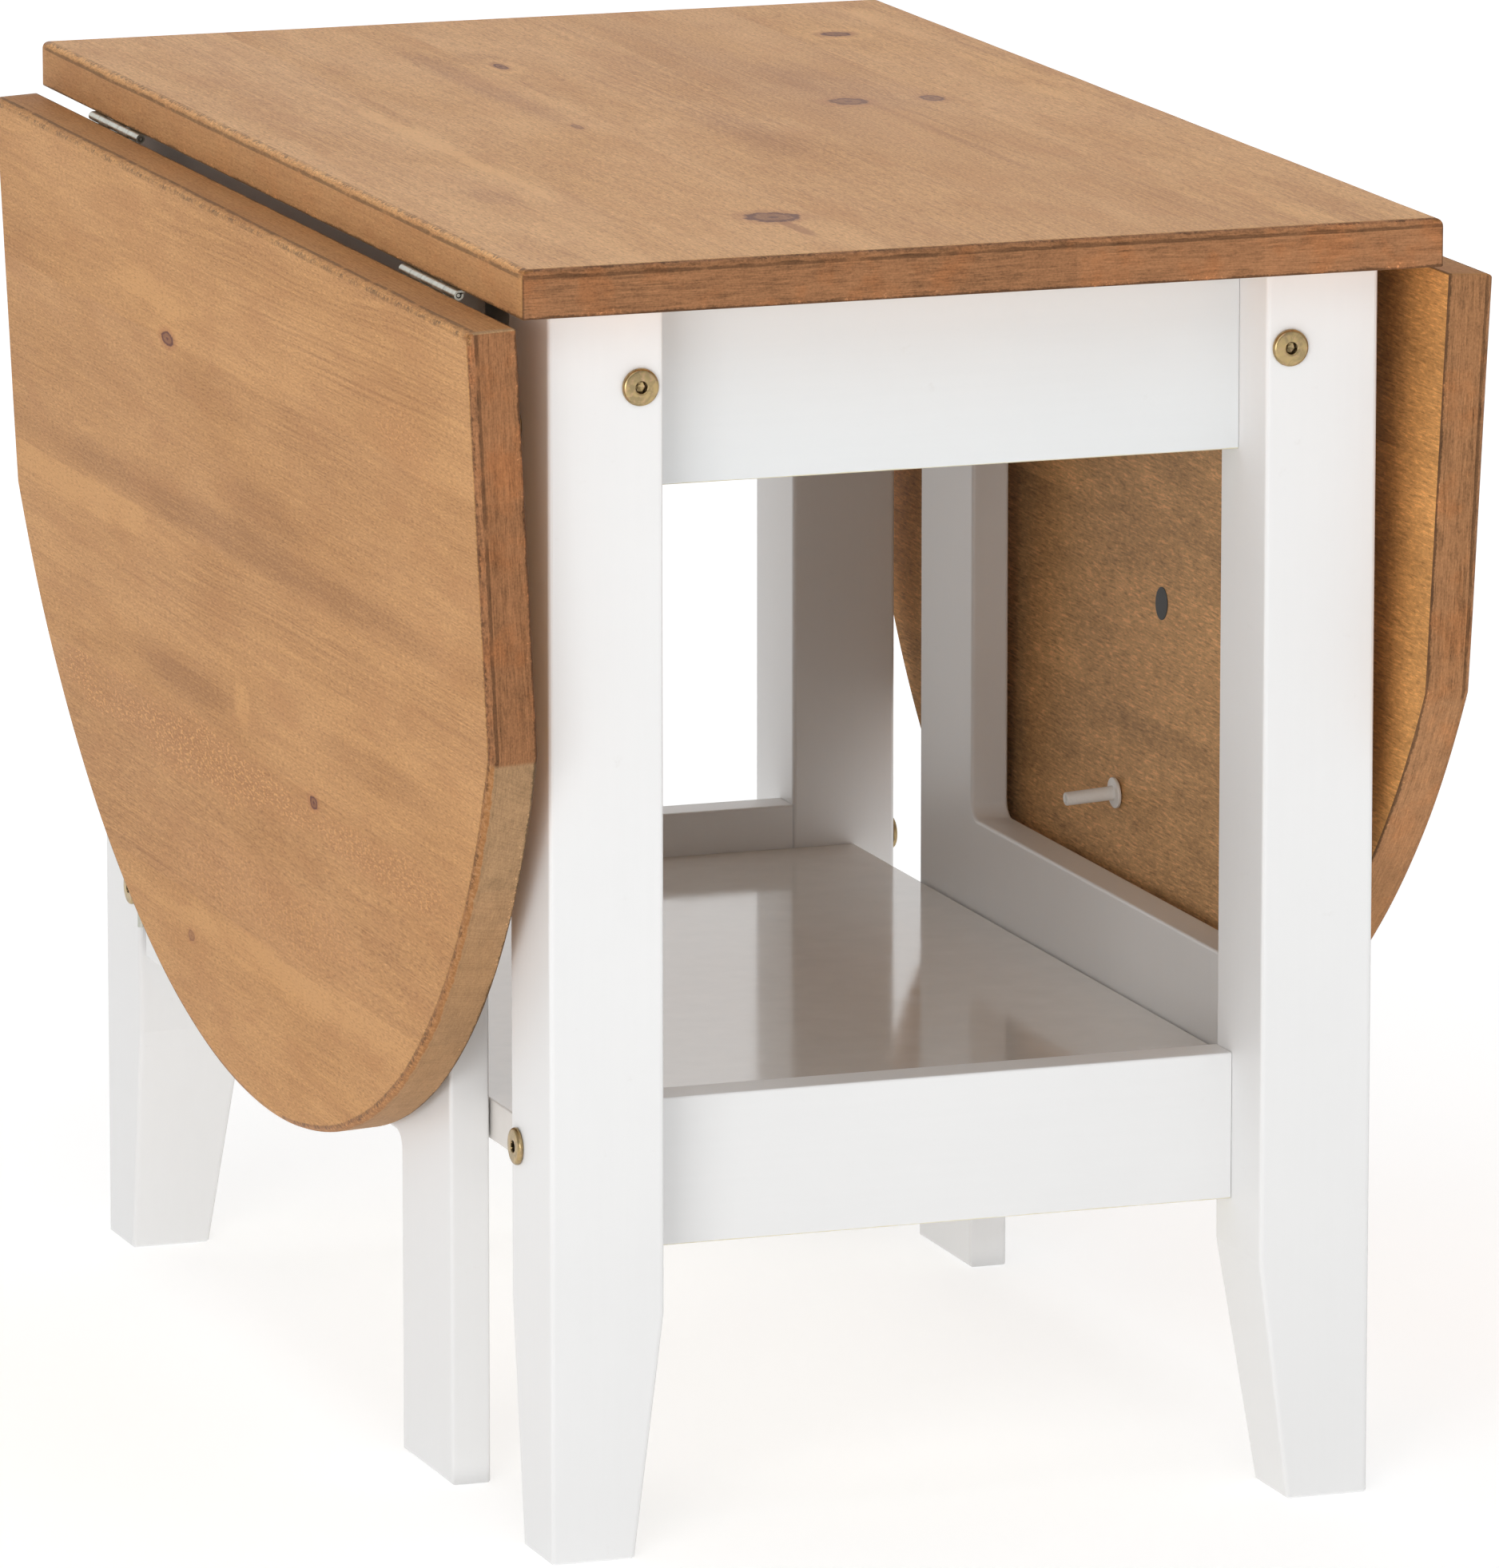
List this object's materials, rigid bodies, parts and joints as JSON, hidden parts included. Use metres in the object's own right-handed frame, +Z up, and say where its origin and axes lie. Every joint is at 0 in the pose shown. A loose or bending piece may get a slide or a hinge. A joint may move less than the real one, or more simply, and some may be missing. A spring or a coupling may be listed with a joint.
{
  "type": "gateleg table",
  "caption": "Gateleg dining table, closed: rectangular pine top, two hanging round-ended drop leaves, white base with tapered legs, lower shelf and folded-in swinging gates",
  "frame": {"origin": "on the floor under the middle of the top", "axes": "+X across the table from the left leaf to the right leaf, +Y along the grain of the top, +Z up"},
  "size_m": [0.6128, 0.93, 0.75],
  "materials": {
    "pine": "waxed knotty pine",
    "white_paint": "white satin paint on wood",
    "bare_wood": "bare softwood",
    "steel": "nickel-plated steel",
    "zinc": "yellow zinc-plated steel",
    "white_plastic": "white plastic"
  },
  "bodies": {
    "frame": {"bolt_end_apron_back_left": "zinc", "bolt_end_apron_back_right": "zinc", "bolt_end_apron_front_left": "zinc", "bolt_end_apron_front_right": "zinc", "bolt_lower_rail_back_left": "zinc", "bolt_lower_rail_back_right": "zinc", "bolt_lower_rail_front_left": "zinc", "bolt_lower_rail_front_right": "zinc", "bolt_side_rail_back_left": "zinc", "bolt_side_rail_back_right": "zinc", "bolt_side_rail_front_left": "zinc", "bolt_side_rail_front_right": "zinc", "end_apron_back": "white_paint", "end_apron_front": "white_paint", "gate_hinge_lower_left_leg_flap": "steel", "gate_hinge_lower_left_pin": "steel", "gate_hinge_lower_right_leg_flap": "steel", "gate_hinge_lower_right_pin": "steel", "gate_hinge_upper_left_leg_flap": "steel", "gate_hinge_upper_left_pin": "steel", "gate_hinge_upper_right_leg_flap": "steel", "gate_hinge_upper_right_pin": "steel", "leaf_hinge_back_left_pin": "steel", "leaf_hinge_back_left_top_flap": "steel", "leaf_hinge_back_right_pin": "steel", "leaf_hinge_back_right_top_flap": "steel", "leaf_hinge_front_left_pin": "steel", "leaf_hinge_front_left_top_flap": "steel", "leaf_hinge_front_right_pin": "steel", "leaf_hinge_front_right_top_flap": "steel", "leg_back_left": "white_paint", "leg_back_right": "white_paint", "leg_front_left": "white_paint", "leg_front_right": "white_paint", "lower_rail_back": "white_paint", "lower_rail_front": "white_paint", "shelf": "white_paint", "shelf_cleat_back": "bare_wood", "shelf_cleat_front": "bare_wood", "side_rail_left": "white_paint", "side_rail_right": "white_paint", "top_cleat_back": "bare_wood", "top_cleat_front": "bare_wood", "top_panel": "pine"},
    "leaf_left": {"leaf_hinge_back_left_leaf_flap": "steel", "leaf_hinge_front_left_leaf_flap": "steel", "leaf_left": "pine", "stop_peg_left": "white_plastic"},
    "leaf_right": {"leaf_hinge_back_right_leaf_flap": "steel", "leaf_hinge_front_right_leaf_flap": "steel", "leaf_right": "pine", "stop_peg_right": "white_plastic"},
    "gate_left": {"gate_hinge_lower_left_gate_flap": "steel", "gate_hinge_upper_left_gate_flap": "steel", "gate_left": "white_paint"},
    "gate_right": {"gate_hinge_lower_right_gate_flap": "steel", "gate_hinge_upper_right_gate_flap": "steel", "gate_right": "white_paint"}
  },
  "joints": [
    {"name": "leaf_left_hinge", "type": "hinge", "parent": "frame", "child": "leaf_left", "pos_m": [-0.2756, 0, 0.7189], "axis": [0, 1, 0], "range_deg": [0, 92.8]},
    {"name": "leaf_right_hinge", "type": "hinge", "parent": "frame", "child": "leaf_right", "pos_m": [0.2756, 0, 0.7189], "axis": [0, -1, 0], "range_deg": [0, 92.8]},
    {"name": "gate_left_swing", "type": "hinge", "parent": "frame", "child": "gate_left", "pos_m": [-0.248, 0.3589, 0.45], "axis": [0, 0, -1], "range_deg": [0, 0.6]},
    {"name": "gate_right_swing", "type": "hinge", "parent": "frame", "child": "gate_right", "pos_m": [0.248, -0.3589, 0.45], "axis": [0, 0, -1], "range_deg": [0, 0.6]}
  ]
}
